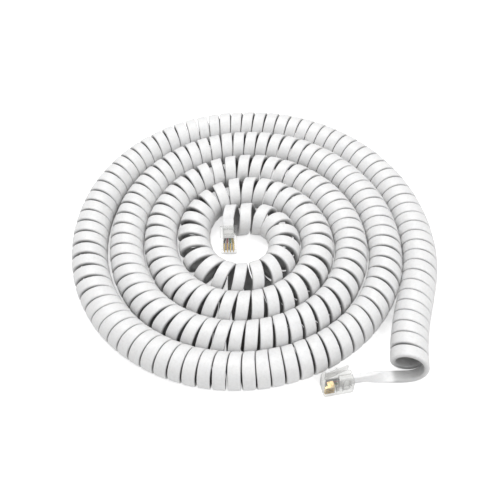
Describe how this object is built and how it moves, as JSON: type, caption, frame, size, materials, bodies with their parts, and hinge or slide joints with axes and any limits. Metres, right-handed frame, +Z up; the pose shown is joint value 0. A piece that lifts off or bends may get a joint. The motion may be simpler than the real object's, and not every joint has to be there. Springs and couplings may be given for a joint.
{
  "type": "coiled telephone handset cord",
  "caption": "White coiled telephone handset cord laid flat as a spiral, with a clear modular plug on a short flat tail at its outer end and another at its centre.",
  "frame": {"origin": "centre of the bottom of the bounding box, on the plane the cord rests on", "axes": "+Z up from the resting plane; -Y towards the outer plug and its flat tail; +X towards the rim of the spiral where the straight outer length of coil starts"},
  "size_m": [0.1568, 0.1533, 0.0153],
  "materials": {
    "jacket": "satin white PVC",
    "clear_plastic": "clear polycarbonate",
    "contact": "gold plated",
    "tinsel": "copper tinsel",
    "insulation_black": "satin",
    "insulation_red": "satin",
    "insulation_green": "satin",
    "insulation_yellow": "satin"
  },
  "bodies": {
    "spiral_coil": {"coil_jacket": "jacket", "coil_wire_black": "insulation_black", "coil_wire_red": "insulation_red", "coil_wire_green": "insulation_green", "coil_wire_yellow": "insulation_yellow"},
    "outer_end_coil": {"stretch_jacket": "jacket", "stretch_wire_black": "insulation_black", "stretch_wire_red": "insulation_red", "stretch_wire_green": "insulation_green", "stretch_wire_yellow": "insulation_yellow"},
    "outer_tail": {"outer_tail_jacket": "jacket", "outer_tail_wire_black": "insulation_black", "outer_tail_wire_red": "insulation_red", "outer_tail_wire_green": "insulation_green", "outer_tail_wire_yellow": "insulation_yellow", "outer_tail_tinsel_cores": "tinsel"},
    "outer_plug": {"outer_plug_housing": "clear_plastic", "outer_cable_anchor": "clear_plastic", "outer_wire_anchor": "clear_plastic", "outer_cord_end": "jacket", "outer_contact_1": "contact", "outer_contact_2": "contact", "outer_contact_3": "contact", "outer_contact_4": "contact", "outer_plug_wire_black": "insulation_black", "outer_plug_wire_red": "insulation_red", "outer_plug_wire_green": "insulation_green", "outer_plug_wire_yellow": "insulation_yellow", "outer_plug_tinsel_cores": "tinsel"},
    "outer_latch": {"outer_latch_tab": "clear_plastic"},
    "inner_plug": {"inner_plug_housing": "clear_plastic", "inner_cable_anchor": "clear_plastic", "inner_wire_anchor": "clear_plastic", "inner_cord_end": "jacket", "inner_contact_1": "contact", "inner_contact_2": "contact", "inner_contact_3": "contact", "inner_contact_4": "contact", "inner_plug_wire_black": "insulation_black", "inner_plug_wire_red": "insulation_red", "inner_plug_wire_green": "insulation_green", "inner_plug_wire_yellow": "insulation_yellow", "inner_plug_tinsel_cores": "tinsel"},
    "inner_latch": {"inner_latch_tab": "clear_plastic"}
  },
  "joints": [
    {"name": "coil_stretch", "type": "slide", "parent": "spiral_coil", "child": "outer_end_coil", "axis": [-0.2145, -0.9767, 0], "range_m": [0, 0.12], "stiffness_N_per_m": 8, "deforming": ["stretch_jacket", "stretch_wire_black", "stretch_wire_red", "stretch_wire_green", "stretch_wire_yellow"]},
    {"name": "outer_tail_lift", "type": "hinge", "parent": "outer_end_coil", "child": "outer_tail", "pos_m": [0.05902, -0.06778, 0.00108], "axis": [-0.0486, 0.9988, 0], "range_deg": [0, 50]},
    {"name": "outer_plug_bend", "type": "hinge", "parent": "outer_tail", "child": "outer_plug", "pos_m": [0.03925, -0.07023, 0.00383], "axis": [0, 0, 1], "range_deg": [0, 50]},
    {"name": "outer_latch_press", "type": "hinge", "parent": "outer_plug", "child": "outer_latch", "pos_m": [0.02747, -0.06954, 0.00383], "axis": [0, 0, -1], "range_deg": [0, 12]},
    {"name": "inner_plug_lift", "type": "hinge", "parent": "spiral_coil", "child": "inner_plug", "pos_m": [-0.01113, 0.00341, 0.01163], "axis": [-0.999, -0.0438, 0], "range_deg": [0, 60]},
    {"name": "inner_latch_press", "type": "hinge", "parent": "inner_plug", "child": "inner_latch", "pos_m": [-0.01077, -0.00498, 0.00227], "axis": [0.999, 0.0438, 0], "range_deg": [0, 12]}
  ]
}
